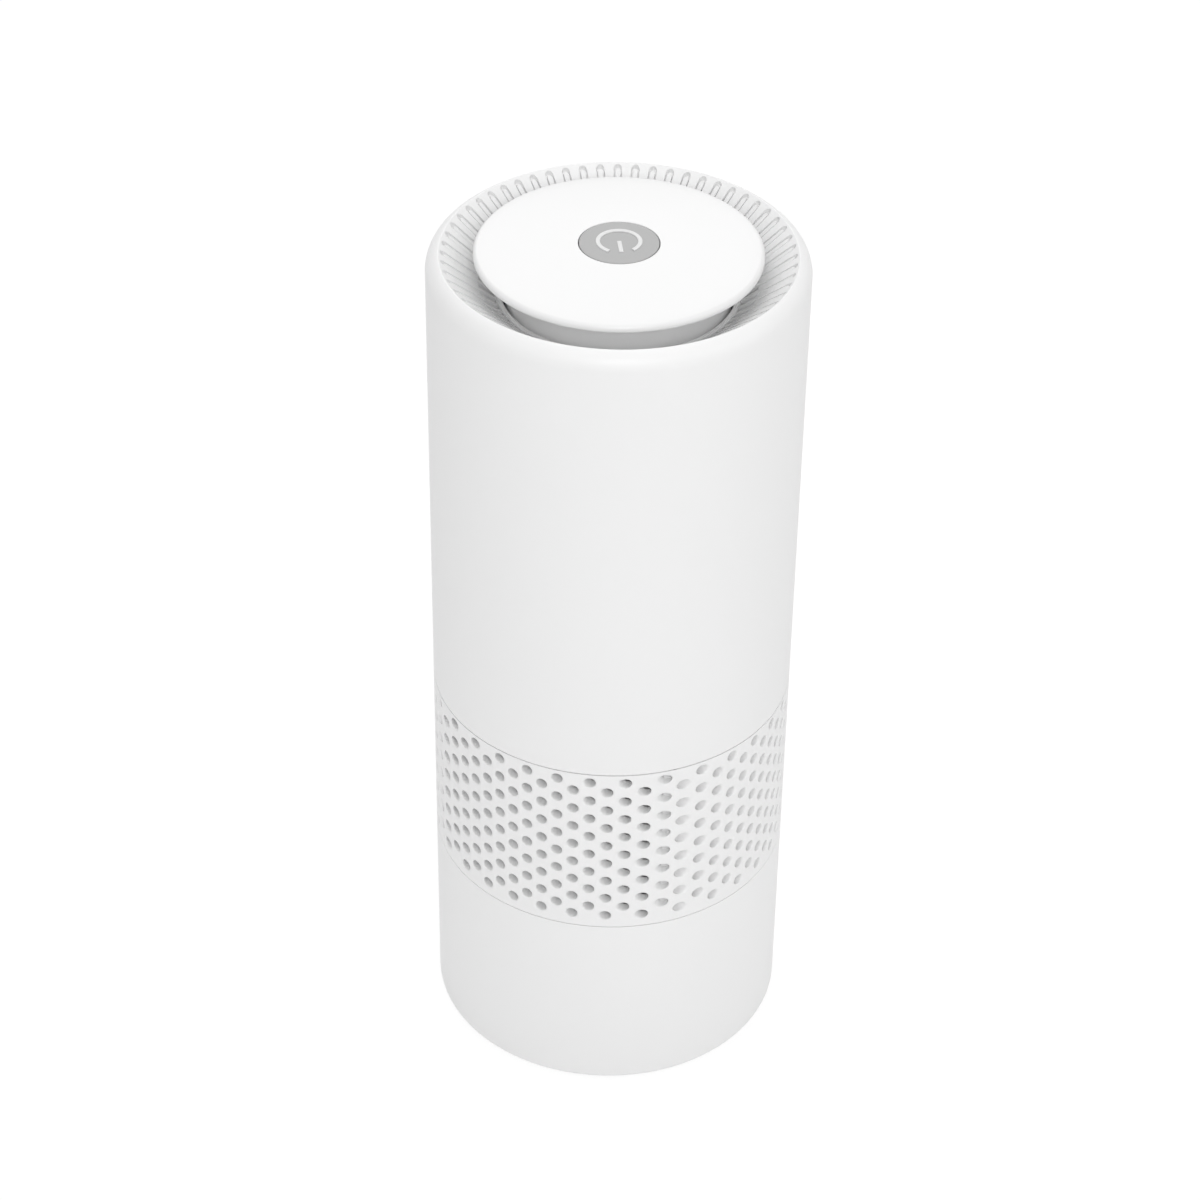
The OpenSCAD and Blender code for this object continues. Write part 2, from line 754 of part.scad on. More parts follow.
module upper_housing() {
  lip_t = 1.9;
  corner_z = crest_z - top_round;
  color("white") difference() {
    union() {
      rotate_extrude() difference() {
        union() {
          translate([0, upper_seam]) square([body_r, corner_z - upper_seam]);
          translate([0, upper_seam]) square([body_r - top_round, crest_z - upper_seam]);
          translate([body_r - top_round, corner_z]) circle(r = top_round, $fn = 180);
        }
        polygon([[-cut - top_round, upper_seam - cut], [bore_r, upper_seam - cut],
          [bore_r, corner_z + 0.3], [crest_r, rim_z - lip_t], [crest_r, crest_z + cut],
          [-cut - top_round, crest_z + cut]]);
      }
      translate([0, 0, bay_floor]) ring(bore_r + wall / 2, bore_r - ledge_w, 1.6);
    }
    around(3) translate([0, 0, upper_seam + spigot_h / 2 - fit_gap])
      ring_part(spigot_r + tab_out + fit_gap, bore_r - ledge_w - cut, tab_t + 2 * fit_gap, tab_angle + 1);
    around(3) translate([0, 0, crest_z - top_round - tab_t - fit_gap])
      ring_part(spigot_r + tab_out + fit_gap, bore_r - cut, tab_t + 2 * fit_gap, tab_angle + 1);
    translate([0, body_r + cut, board_z + board_t + usb_h / 2]) rotate([90, 0, 0])
      linear_extrude(height = wall + 2 * cut) usb_outline(0.3);
  }
}

module flow_cone() {
  cone_t = 1.4;
  cone_shelf = 4.6;
  color("gainsboro") difference() {
    rotate_extrude() polygon([
      [hub_r - hub_t - fit_gap, duct_top - 3], [hub_r - hub_t - fit_gap, duct_top],
      [hub_r, duct_top], [cup_r, cup_z], [cup_r - cone_shelf, cup_z], [cup_r - cone_shelf, cup_z - cone_t],
      [cup_r - 2 * cone_t, cup_z - cone_t], [hub_r - cone_t, duct_top + cone_t],
      [hub_r - hub_t - 1.3, duct_top - 3]]);
    rotate([0, 0, power_angle]) translate([0, 0, power_cross]) rotate([0, 90, 0])
      cylinder(r = wire_r + run_gap, h = body_r, $fn = 32);
  }
}

// The plan of one slot, from a level end near the cap to a round outer end
module slot_plan(outer) {
  translate([slot_in, -slot_w / 2]) square([outer - slot_in - slot_w / 2, slot_w]);
  translate([outer - slot_w / 2, 0]) circle(d = slot_w, $fn = 32);
}

module outlet_grille() {
  rim_r = crest_r - fit_gap / 2;
  flange_z = crest_z - top_round - 2;
  foot_r = rim_r - 1.6;
  color("white") difference() {
    union() {
      rotate_extrude() polygon([
        [0, cup_z], [cup_r, cup_z], [cup_r, lip_z - grille_drop], [foot_r, flange_z],
        [spigot_r, flange_z], [spigot_r, crest_z - top_round + 0.2], [rim_r, rim_z - 2.1],
        [rim_r, rim_z - (crest_r - rim_r) * funnel_slope], [cup_r, lip_z], [cup_r, lip_z + 0.3],
        [cup_in, lip_z + 0.3], [cup_in, cup_top], [0, cup_top]]);
      around(3) translate([0, 0, crest_z - top_round - tab_t])
        ring_part(spigot_r + tab_out, spigot_r - wall, tab_t, tab_angle);
    }
    translate([0, 0, cup_top + cut]) rotate([0, 0, slot_phase]) around(slot_count)
      translate([0, 0, -cup_floor_t]) linear_extrude(height = crest_z - cup_top + cut)
        slot_plan(slot_out - slot_shallow);
    intersection() {
      translate([0, 0, lip_z - slot_recess - cut]) rotate([0, 0, slot_phase]) around(slot_count)
        linear_extrude(height = crest_z - lip_z + slot_recess + 2 * cut) slot_plan(slot_out);
      rotate_extrude() polygon([
        [cup_r, lip_z - slot_recess], [crest_r, rim_z - slot_recess],
        [crest_r, crest_z + cut], [cup_r, lip_z + cut]]);
    }
    translate([0, 0, cup_z - cut]) {
      at_angles(cap_boss_angles, cap_boss_ring)
        cylinder(r = screw_hole_r, h = cup_floor_t + 2 * cut, $fn = 32);
      rotate([0, 0, power_angle]) translate([power_drop, 0, 0])
        cylinder(r = wire_r + run_gap, h = cup_floor_t + 2 * cut, $fn = 32);
    }
  }
}

module light_ring() {
  inner = neck_r - neck_wall;
  color("darkgray") translate([0, 0, cup_top]) {
    ring(neck_r, inner, cap_under - cup_top);
    translate([0, 0, top_board_z - cup_top - ledge_h]) ring(inner + neck_wall / 2, inner - 1.4, ledge_h);
  }
}

module control_board() {
  color("seagreen") translate([0, 0, top_board_z]) difference() {
    cylinder(r = top_board_r, h = board_t);
    at_angles(cap_boss_angles, cap_boss_ring) translate([0, 0, -cut])
      cylinder(r = cap_boss_r + run_gap, h = board_t + 2 * cut);
  }
}

module led_chips() {
  led = [2.8, 3.5, 1.4];
  led_inset = 4;
  led_in = top_board_r - led_inset - led.x;
  color("lightyellow") translate([0, 0, top_board_z + board_t]) around(6)
    rotate([0, 0, 30]) translate([led_in, -led.y / 2, 0]) cube(led);
}

module tact_switch() {
  color("dimgray") translate([0, 0, top_board_z + board_t]) difference() {
    translate([-switch_w / 2, -switch_w / 2, 0]) cube([switch_w, switch_w, switch_h]);
    translate([0, 0, plunger_seat]) cylinder(r = plunger_r + fit_gap, h = switch_h);
  }
}

module switch_plunger() {
  bottom = top_board_z + board_t + plunger_seat + button_travel + 0.1;
  color("black") translate([0, 0, bottom]) cylinder(r = plunger_r, h = button_z - bottom);
}

module cap_screws() {
  color("silver") translate([0, 0, cup_z]) at_angles(cap_boss_angles, cap_boss_ring)
    mirror([0, 0, 1]) screw(top_board_z - cup_top);
}

module top_disc() {
  skirt_out = neck_r - neck_wall - fit_gap;
  color("white") difference() {
    union() {
      difference() {
        under_dome(cap_r);
        translate([0, 0, cap_under - 10 * cap_edge]) cylinder(r = cap_r + cut, h = 10 * cap_edge);
      }
      translate([0, 0, top_board_z + board_t])
        ring(skirt_out, skirt_out - 1.2, cap_under - top_board_z - board_t + 0.5);
      translate([0, 0, cup_top]) at_angles(cap_boss_angles, cap_boss_ring)
        cylinder(r = cap_boss_r, h = cap_under - cup_top + 0.5, $fn = 48);
    }
    translate([0, 0, cap_under - cut])
      cylinder(r = button_r + button_gap, h = cap_rise + cap_edge + 2 * cut);
    translate([0, 0, cup_top - cut]) at_angles(cap_boss_angles, cap_boss_ring)
      cylinder(r = screw_r, h = top_board_z - cup_top, $fn = 32);
  }
}

// Button -----------------------------------------------------------------

// The power symbol: an open ring and a bar, with its bar pointing to -Y
module icon_plan(grow = 0) {
  outer = icon_d / 2;
  half = icon_line / 2 + grow;
  mid = outer - icon_line / 2;
  spread = 2 * outer * tan(icon_gap / 2);
  translate([0, icon_shift]) {
    difference() {
      circle(r = mid + half, $fn = 96);
      circle(r = mid - half, $fn = 96);
      polygon([[0, 0], [-spread, -2 * outer], [spread, -2 * outer]]);
    }
    translate([-half, -bar_l - grow]) square([2 * half, bar_l + 2 * grow]);
  }
}

module power_button() {
  color("darkgray") difference() {
    union() {
      intersection() {
        under_dome(button_r);
        translate([0, 0, button_z]) cylinder(r = button_r + cut, h = cap_rise + 2 * cap_edge);
      }
      translate([0, 0, button_z]) cylinder(r = button_r + button_flange, h = button_flange_t);
    }
    translate([0, 0, cap_top - icon_pocket]) linear_extrude(height = icon_pocket + cut) icon_plan(0.03);
  }
}

module power_icon() {
  color("white") translate([0, 0, cap_top - icon_pocket])
    linear_extrude(height = icon_pocket + icon_proud) icon_plan();
}

base_cup();
foot_ring();
filter_tray();
filter_bottom_cap();
filter_core();
pleated_media();
filter_sleeve();
filter_top_cap();
filter_seal();
inlet_band();
bulkhead();
main_board();
board_components();
usb_socket();
board_screws();
bay_cover();
fan_frame();
fan_screws();
sleeve_bearing();
stator_core();
stator_coils();
motor_lead();
impeller();
rotor_ring();
magnet_ring();
motor_shaft();
shaft_clip();
upper_housing();
flow_cone();
outlet_grille();
light_ring();
control_board();
led_chips();
tact_switch();
power_lead();
cap_screws();
top_disc();
power_button();
power_icon();
switch_plunger();
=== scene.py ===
import bpy
import math
from mathutils import Matrix, Vector


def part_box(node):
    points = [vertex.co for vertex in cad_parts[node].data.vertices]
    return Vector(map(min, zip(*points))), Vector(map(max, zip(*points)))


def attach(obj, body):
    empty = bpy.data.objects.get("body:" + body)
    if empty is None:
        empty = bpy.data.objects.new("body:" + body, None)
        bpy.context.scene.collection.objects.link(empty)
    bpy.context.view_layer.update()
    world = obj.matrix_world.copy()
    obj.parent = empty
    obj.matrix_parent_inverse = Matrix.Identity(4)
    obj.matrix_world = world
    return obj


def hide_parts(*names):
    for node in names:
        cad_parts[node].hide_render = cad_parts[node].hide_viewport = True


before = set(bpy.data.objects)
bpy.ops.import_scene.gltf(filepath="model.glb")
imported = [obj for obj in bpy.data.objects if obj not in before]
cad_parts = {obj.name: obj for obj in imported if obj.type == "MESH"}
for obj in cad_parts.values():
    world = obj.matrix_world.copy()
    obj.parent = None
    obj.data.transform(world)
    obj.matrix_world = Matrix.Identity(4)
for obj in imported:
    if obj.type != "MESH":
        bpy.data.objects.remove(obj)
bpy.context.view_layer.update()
mm = 0.001
# how close, in millimetres, a vertex has to be to count as on a line, and to be merged
near = 0.1
tiny = 0.02
quarterTurn = math.pi / 2
fullTurn = 2 * math.pi
print("frame loaded:", len(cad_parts), "nodes")


# shader helpers
class Wire:
    # one output socket, so that shader maths reads as plain expressions
    def __init__(self, recipe, socket):
        self.recipe = recipe
        self.socket = socket

    def maths(self, operation, other, flipped=False):
        pair = {0: other, 1: self} if flipped else {0: self, 1: other}
        return self.recipe.add("ShaderNodeMath", {"operation": operation}, pair)

    def __add__(self, other):
        return self.maths("ADD", other)

    def __radd__(self, other):
        return self.maths("ADD", other, True)

    def __sub__(self, other):
        return self.maths("SUBTRACT", other)

    def __rsub__(self, other):
        return self.maths("SUBTRACT", other, True)

    def __mul__(self, other):
        return self.maths("MULTIPLY", other)

    def __rmul__(self, other):
        return self.maths("MULTIPLY", other, True)


class Recipe:
    # builds one material, or the world, node by node
    def __init__(self, name, group=bpy.data.materials):
        self.material = group.new(name)
        self.material.use_nodes = True
        self.tree = self.material.node_tree
        self.tree.nodes.clear()

    def add(self, kind, settings=None, sockets=None, output=0):
        node = self.tree.nodes.new(kind)
        for key, value in (settings or {}).items():
            setattr(node, key, value)
        for key, value in (sockets or {}).items():
            if isinstance(value, Wire):
                self.tree.links.new(value.socket, node.inputs[key])
            else:
                node.inputs[key].default_value = value
        return None if output is None else Wire(self, node.outputs[output])

    def mixColour(self, factor, first, second):
        mixed = {"Factor": factor, 6: first, 7: second}
        return self.add("ShaderNodeMix", {"data_type": "RGBA"}, mixed, 2)

    def place(self, scale=(1, 1, 1)):
        where = self.add("ShaderNodeTexCoord", output="Object")
        return self.add("ShaderNodeMapping", None, {"Vector": where, "Scale": scale})

    def noise(self, where, size, detail=2, rough=0.5):
        settings = {"Vector": where, "Scale": 1 / size, "Detail": detail, "Roughness": rough}
        return self.add("ShaderNodeTexNoise", None, settings)

    def bump(self, height, depth, strength=1):
        sockets = {"Height": height, "Distance": depth, "Strength": strength}
        return self.add("ShaderNodeBump", None, sockets)

    def finish(self, sockets):
        shader = self.add("ShaderNodeBsdfPrincipled", None, sockets)
        self.add("ShaderNodeOutputMaterial", None, {"Surface": shader}, None)
        return self.material


def grey(level):
    return (level, level, level, 1)


# modelling helpers
def freshStart():
    if bpy.context.object and bpy.context.object.mode != "OBJECT":
        bpy.ops.object.mode_set(mode="OBJECT")
    bpy.ops.object.select_all(action="DESELECT")


def editAll(mode="VERT"):
    bpy.ops.object.mode_set(mode="EDIT")
    bpy.ops.mesh.select_mode(type=mode)
    bpy.ops.mesh.select_all(action="SELECT")


def settle(name):
    # object mode, with the piece's place put into its mesh
    bpy.ops.object.mode_set(mode="OBJECT")
    piece = bpy.context.object
    piece.name = piece.data.name = name
    bpy.ops.object.transform_apply(location=True, rotation=True, scale=True)
    return piece


def choose(mode, test):
    # selects only the vertices, edges or faces for which the test holds
    bpy.ops.mesh.select_mode(type=mode)
    bpy.ops.mesh.select_all(action="DESELECT")
    bpy.ops.object.mode_set(mode="OBJECT")
    mesh = bpy.context.object.data
    group = {"VERT": mesh.vertices, "EDGE": mesh.edges, "FACE": mesh.polygons}[mode]
    for element in group:
        element.select = bool(test(element))
    bpy.ops.object.mode_set(mode="EDIT")


def cornerOf(index):
    return bpy.context.object.data.vertices[index].co


def applyModifier(piece, kind, **settings):
    modifier = piece.modifiers.new(kind.title(), kind)
    for key, value in settings.items():
        setattr(modifier, key, value)
    bpy.context.view_layer.objects.active = piece
    bpy.ops.object.modifier_apply(modifier=modifier.name)


def softened(corners, cuts=4):
    # a closed outline of (radius, height, rounding) corners as (radius, height) points
    points = []
    for i, corner in enumerate(corners):
        here = Vector(corner[:2])
        rounding = corner[2] if len(corner) > 2 else 0
        if not rounding:
            points.append(tuple(here))
            continue
        toward = (Vector(corners[i - 1][:2]) - here).normalized()
        away = (Vector(corners[(i + 1) % len(corners)][:2]) - here).normalized()
        half = toward.angle(away) / 2
        centre = here + (toward + away).normalized() * rounding / math.sin(half)
        first = here + toward * rounding / math.tan(half) - centre
        last = here + away * rounding / math.tan(half) - centre
        sweep = math.atan2(first.x * last.y - first.y * last.x, first.dot(last))
        for k in range(cuts + 1):
            turn = sweep * k / cuts
            points.append((centre.x + first.x * math.cos(turn) - first.y * math.sin(turn),
                           centre.y + first.x * math.sin(turn) + first.y * math.cos(turn)))
    return points


def arcPoints(centre, radius, start, end, cuts):
    return [(centre[0] + radius * math.cos(math.radians(start + (end - start) * k / cuts)),
             centre[1] + radius * math.sin(math.radians(start + (end - start) * k / cuts)))
            for k in range(cuts + 1)]


def turned(name, outline, steps=180, angle=fullTurn, start=0):
    # spins a closed outline, in millimetres, round the axis
    freshStart()
    x, z = outline[0]
    bpy.ops.mesh.primitive_plane_add(size=mm, location=(x * mm, 0, z * mm))
    bpy.ops.object.transform_apply(location=True)
    editAll()
    bpy.ops.mesh.merge(type="CENTER")
    for (x0, z0), (x1, z1) in zip(outline, outline[1:] + outline[:1]):
        step = {"value": ((x1 - x0) * mm, 0, (z1 - z0) * mm)}
        bpy.ops.mesh.extrude_region_move(TRANSFORM_OT_translate=step)
    bpy.ops.mesh.select_all(action="SELECT")
    bpy.ops.mesh.remove_doubles(threshold=0.002 * mm)
    full = angle >= fullTurn - 0.001
    if not full:
        bpy.ops.mesh.edge_face_add()
    # spin counts its angle clockwise
    bpy.ops.mesh.spin(steps=steps, angle=-angle, center=(0, 0, 0), axis=(0, 0, 1))
    bpy.ops.mesh.select_all(action="SELECT")
    bpy.ops.mesh.remove_doubles(threshold=0.002 * mm)
    bpy.ops.mesh.normals_make_consistent(inside=False)
    piece = settle(name)
    if start:
        piece.rotation_euler.z = start
        bpy.ops.object.transform_apply(rotation=True)
    return piece


def smoothed(piece, angle=35):
    freshStart()
    piece.select_set(True)
    bpy.context.view_layer.objects.active = piece
    bpy.ops.object.shade_smooth_by_angle(angle=math.radians(angle))
    return piece


def joined(first, others):
    freshStart()
    for piece in [first, *others]:
        piece.select_set(True)
    bpy.context.view_layer.objects.active = first
    bpy.ops.object.join()
    return first


def copied(piece, turn):
    freshStart()
    piece.select_set(True)
    bpy.context.view_layer.objects.active = piece
    bpy.ops.object.duplicate(linked=False)
    twin = bpy.context.object
    twin.rotation_euler.z = turn
    bpy.ops.object.transform_apply(rotation=True)
    return twin


def cutAway(piece, cutters):
    cutter = joined(cutters[0], cutters[1:]) if len(cutters) > 1 else cutters[0]
    freshStart()
    piece.select_set(True)
    applyModifier(piece, "BOOLEAN", operation="DIFFERENCE", solver="EXACT", object=cutter)
    bpy.data.objects.remove(cutter)


def dressed(piece, material, body, slot, *nodes):
    piece.data.materials.clear()
    piece.data.materials.append(material)
    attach(piece, body)
    if nodes:
        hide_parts(*nodes)
    return piece


def reach(node):
    # a CAD node's lowest and highest corners, in millimetres
    low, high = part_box(node)
    return low / mm, high / mm


# finishes
def mouldedPlastic(name, level, roughness, grain=0.12, depth=0.004, tint=(1, 1, 1)):
    # moulded plastic: fine spark-eroded grain, faint uneven gloss and tone
    recipe = Recipe(name)
    where = recipe.place()
    cloud = recipe.noise(where, 0.03, 3)
    fine = recipe.noise(where, grain * mm, 2, 0.6)
    pale = [level * share for share in tint]
    tone = recipe.mixColour(cloud, (*[part * 0.985 for part in pale], 1), (*pale, 1))
    rough = roughness + (cloud - 0.5) * 0.06 + (fine - 0.5) * 0.05
    return recipe.finish({"Base Color": tone, "Roughness": rough, "Specular IOR Level": 0.5,
                          "Normal": recipe.bump(fine, depth * mm, 0.6)})


def softRubber(name, level):
    recipe = Recipe(name)
    where = recipe.place()
    fine = recipe.noise(where, 0.35 * mm, 3, 0.7)
    cloud = recipe.noise(where, 8 * mm, 2)
    tone = recipe.mixColour(cloud, grey(level * 0.85), grey(level * 1.1))
    return recipe.finish({"Base Color": tone, "Roughness": 0.8 + (fine - 0.5) * 0.15,
                          "Specular IOR Level": 0.35, "Normal": recipe.bump(fine, 0.03 * mm)})


def wovenMesh(name, level, pitch, radius):
    # threads crossed round a sleeve: two waves, with painted shade darkening the gaps between them
    recipe = Recipe(name)
    where = recipe.place()
    split = recipe.add("ShaderNodeSeparateXYZ", None, {0: where})
    around = recipe.add("ShaderNodeMath", {"operation": "ARCTAN2"},
                        {0: Wire(recipe, split.socket.node.outputs[1]), 1: split})
    height = Wire(recipe, split.socket.node.outputs[2])
    warp, weft = (recipe.add("ShaderNodeMath", {"operation": "SINE"}, {0: wave}) for wave in
                  (around * (radius * fullTurn / pitch), height * (fullTurn / (pitch * mm))))
    weave = warp * weft
    weaveShade = recipe.add("ShaderNodeMath", {"operation": "ABSOLUTE"}, {0: weave})
    # painted shade: the tone falls to 0.8 of the thread colour in the gaps between the threads
    tone = recipe.mixColour(weaveShade, grey(level * 0.8), grey(level))
    return recipe.finish({"Base Color": tone, "Roughness": 0.85,
                          "Normal": recipe.bump(weave, 0.06 * mm)})


def filterPaper(name):
    recipe = Recipe(name)
    where = recipe.place()
    fibre = recipe.noise(where, 0.5 * mm, 5, 0.75)
    tone = recipe.mixColour(fibre, (0.84, 0.83, 0.79, 1), (0.93, 0.92, 0.88, 1))
    return recipe.finish({"Base Color": tone, "Roughness": 0.9,
                          "Normal": recipe.bump(fibre, 0.05 * mm)})


def bareMetal(name, colour, roughness):
    # rolled or turned metal: fine lines that run across the height
    recipe = Recipe(name)
    where = recipe.place((1, 1, 14))
    lines = recipe.noise(where, 0.8 * mm, 3, 0.6)
    tone = recipe.mixColour(lines, (*[c * 0.9 for c in colour], 1), (*colour, 1))
    rough = roughness + (lines - 0.5) * 0.12
    return recipe.finish({"Base Color": tone, "Metallic": 1, "Roughness": rough,
                          "Normal": recipe.bump(lines, 0.004 * mm)})


def solderMask(name):
    # a circuit board: green lacquer over faint copper tracks
    recipe = Recipe(name)
    where = recipe.place((1, 1, 0))
    tracks = recipe.add("ShaderNodeTexBrick", {"offset": 0.5, "squash": 1.0},
                        {"Vector": where, "Scale": 1, "Color1": grey(0), "Color2": grey(0),
                         "Mortar": grey(1), "Mortar Size": 0.00012, "Brick Width": 3.2 * mm,
                         "Row Height": 1.1 * mm})
    tone = recipe.mixColour(tracks, (0.012, 0.11, 0.05, 1), (0.03, 0.2, 0.1, 1))
    return recipe.finish({"Base Color": tone, "Roughness": 0.35, "Coat Weight": 0.4,
                          "Normal": recipe.bump(tracks, 0.03 * mm)})


def woundCopper(name):
    recipe = Recipe(name)
    where = recipe.place()
    turns = recipe.add("ShaderNodeTexWave", {"bands_direction": "Z"},
                       {"Vector": where, "Scale": 550, "Distortion": 0.6, "Detail": 1})
    # painted shade: each turn's band runs from bright copper to a darker copper in the groove
    # between turns
    tone = recipe.mixColour(turns, (0.42, 0.16, 0.05, 1), (0.8, 0.4, 0.18, 1))
    return recipe.finish({"Base Color": tone, "Metallic": 0.9, "Roughness": 0.32,
                          "Normal": recipe.bump(turns, 0.05 * mm)})


def sinteredBronze(name):
    recipe = Recipe(name)
    where = recipe.place()
    pores = recipe.noise(where, 0.1 * mm, 4, 0.8)
    tone = recipe.mixColour(pores, (0.36, 0.24, 0.1, 1), (0.66, 0.48, 0.24, 1))
    rough = 0.45 + (pores - 0.5) * 0.2
    return recipe.finish({"Base Color": tone, "Metallic": 1, "Roughness": rough,
                          "Normal": recipe.bump(pores, 0.01 * mm)})


finishes = {
    "shell": mouldedPlastic("shellPlastic", 0.84, 0.42),
    "cap": mouldedPlastic("capPlastic", 0.81, 0.3, 0.2, 0.002),
    "button": mouldedPlastic("buttonPlastic", 0.39, 0.45),
    "icon": mouldedPlastic("iconPlastic", 0.7, 0.4),
    "neck": mouldedPlastic("neckPlastic", 0.92, 0.5),
    "inner": mouldedPlastic("innerPlastic", 0.74, 0.5, tint=(1, 1, 0.985)),
    "impeller": mouldedPlastic("impellerPlastic", 0.8, 0.45),
    "filterCap": mouldedPlastic("filterCapPlastic", 0.82, 0.5),
    "core": mouldedPlastic("corePlastic", 0.035, 0.6),
    "component": mouldedPlastic("componentPlastic", 0.03, 0.4),
    "magnet": mouldedPlastic("bondedFerrite", 0.05, 0.55, 0.3, 0.01),
    "led": mouldedPlastic("ledPlastic", 0.85, 0.25, tint=(1, 0.95, 0.6)),
    "blackLead": mouldedPlastic("blackInsulation", 0.025, 0.45),
    "redLead": mouldedPlastic("redInsulation", 0.5, 0.45, tint=(1, 0.06, 0.05)),
    "foot": softRubber("footRubber", 0.14),
    "seal": softRubber("sealFoam", 0.05),
    "sleeve": wovenMesh("sleeveMesh", 0.82, 0.9, 26.1),
    "paper": filterPaper("filterPaper"),
    "steel": bareMetal("platedSteel", (0.66, 0.66, 0.67), 0.32),
    "socket": bareMetal("nickelPlate", (0.72, 0.71, 0.69), 0.28),
    "motorSteel": bareMetal("motorSteel", (0.42, 0.43, 0.45), 0.4),
    "board": solderMask("solderMask"),
    "copper": woundCopper("woundCopper"),
    "bronze": sinteredBronze("sinteredBronze"),
}

# CAD nodes that keep their own shape, and what each is finished in
nodeFinish = {
    "filter_tray": "inner", "filter_core": "core", "pleated_media": "paper", "bulkhead": "inner",
    "main_board": "board", "board_components": "component", "usb_socket": "socket",
    "board_screws": "steel", "bay_cover": "inner", "fan_frame": "inner", "fan_screws": "steel",
    "sleeve_bearing": "bronze", "stator_core": "motorSteel", "stator_coils": "copper",
    "motor_lead": "blackLead", "impeller": "impeller", "rotor_ring": "motorSteel",
    "magnet_ring": "magnet", "motor_shaft": "steel", "shaft_clip": "motorSteel",
    "flow_cone": "inner", "control_board": "board", "led_chips": "led", "tact_switch": "component",
    "power_lead": "redLead", "cap_screws": "steel", "switch_plunger": "component",
    "filter_bottom_cap": "filterCap", "filter_top_cap": "filterCap", "filter_sleeve": "sleeve",
    "filter_seal": "seal",
}
for node, finish in nodeFinish.items():
    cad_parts[node].data.materials.clear()
    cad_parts[node].data.materials.append(finishes[finish])
print("finishes ready:", len(finishes))


# base and foot
base = {"edgeRound": 0.8, "rimRound": 0.06, "seamDepth": 0.8, "floor": 2.4, "floorRound": 0.6,
        "wall": 2.2, "smallRound": 0.15, "pinRadius": 3, "pinHeight": 1.6, "pinRound": 0.3,
        "footRadii": (22, 29), "footSeat": 1.2, "grooveRadius": 32.4, "grooveBottom": 33.9,
        "grooveTop": 36.5, "turnAngle": 29, "entryAngle": 14, "entryUnder": 0.3, "entryOver": 0.1,
        "cutOver": 1}
foot = {"inner": 22.1, "outer": 28.9, "high": 1.6, "edgeRound": 0.25,
        "treads": ((24.03, 24.63), (26.37, 26.97)), "treadDepth": 0.2, "treadRound": 0.1}
baseLow, baseHigh = reach("base_cup")
bodyRadius = round(baseHigh.x, 2)
boreRadius = bodyRadius - base["wall"]
lowerSeam = baseHigh.z
seamGap = 0.2


def grooveCutters(middle):
    # one bayonet groove: the way in from the rim, then the way round
    low, high, out = base["grooveBottom"], base["grooveTop"], base["grooveRadius"]
    within, above = boreRadius - base["cutOver"], lowerSeam + base["cutOver"]
    entryLow, entryOut = low - base["entryUnder"], out + base["entryOver"]
    entry, turn = math.radians(base["entryAngle"]), math.radians(base["turnAngle"])
    return [turned("entryCut", [(within, entryLow), (entryOut, entryLow), (entryOut, above),
                                (within, above)], 8, entry, middle - entry / 2),
            turned("turnCut", [(within, low), (out, low), (out, high), (within, high)],
                   12, turn, middle - turn)]


def buildBase():
    b = base
    bottom, top = baseLow.z, lowerSeam
    footIn, footOut = b["footRadii"]
    seatTop = bottom + b["footSeat"]
    floorTop = bottom + b["floor"]
    pinTop = floorTop + b["pinHeight"]
    seamRadius = bodyRadius - b["seamDepth"]
    outline = softened([
        (0, bottom), (footIn, bottom, b["smallRound"]), (footIn, seatTop), (footOut, seatTop),
        (footOut, bottom, b["smallRound"]), (bodyRadius, bottom, b["edgeRound"]),
        (bodyRadius, top - seamGap, b["rimRound"]), (seamRadius, top - seamGap), (seamRadius, top),
        (boreRadius, top, b["smallRound"]), (boreRadius, floorTop, b["floorRound"]),
        (b["pinRadius"], floorTop), (b["pinRadius"], pinTop, b["pinRound"]), (0, pinTop)], 6)
    cup = turned("baseCup", outline, 192)
    for k in range(3):
        for cutter in grooveCutters(math.radians(120 * k)):
            cutAway(cup, [cutter])
    dressed(smoothed(cup), finishes["shell"], "base", "shell", "base_cup")


def buildFoot():
    f = foot
    grooves = []
    for start, end in f["treads"]:
        grooves += [(start, 0, f["treadRound"]), (start, f["treadDepth"]), (end, f["treadDepth"]),
                    (end, 0, f["treadRound"])]
    ring = turned("footRing", softened([
        (f["inner"], 0, f["edgeRound"]), *grooves, (f["outer"], 0, f["edgeRound"]),
        (f["outer"], f["high"]), (f["inner"], f["high"])], 3), 128)
    dressed(smoothed(ring), finishes["foot"], "base", "foot", "foot_ring")


buildBase()
buildFoot()
print("base and foot built")

# perforated band
band = {"holeRadius": 1.0, "entryRound": 0.4, "columns": 16, "rows": 8, "pitchZ": 4.27,
        "firstHole": 2.1, "turn": -31.2, "wall": 2.2, "sides": 16, "cellRows": 6,
        "guideSides": 720, "guideHigh": 200, "guideMiddle": 60,
        "collarIn": 29.4, "collarRound": 0.3,
        "skirtRadius": 31.0, "skirtInset": 1.2, "skirtUp": 1.6,
        "spigotRadius": 31.2, "spigotInset": 0.8, "spigotDown": 0.9, "blockInset": 0.8,
        "lugRadius": 32.1, "lugUp": 1.2, "lugHigh": 2, "lugAngle": 12,
        "tabRadius": 31.9, "tabDown": 3.4, "tabHigh": 1.2, "tabAngle": 16}
skirtLow, spigotTop = (corner.z for corner in reach("inlet_band"))
upperSeam = reach("upper_housing")[0].z
pitchX = bodyRadius * math.sqrt(2) / band["columns"]
pitchZ = band["pitchZ"]
firstColumn = -(band["columns"] - 1) / 2 * pitchX
highRow = upperSeam - band["firstHole"]
lowRow = highRow - pitchZ / 2
quarterEdge = bodyRadius * math.sin(math.radians(45))


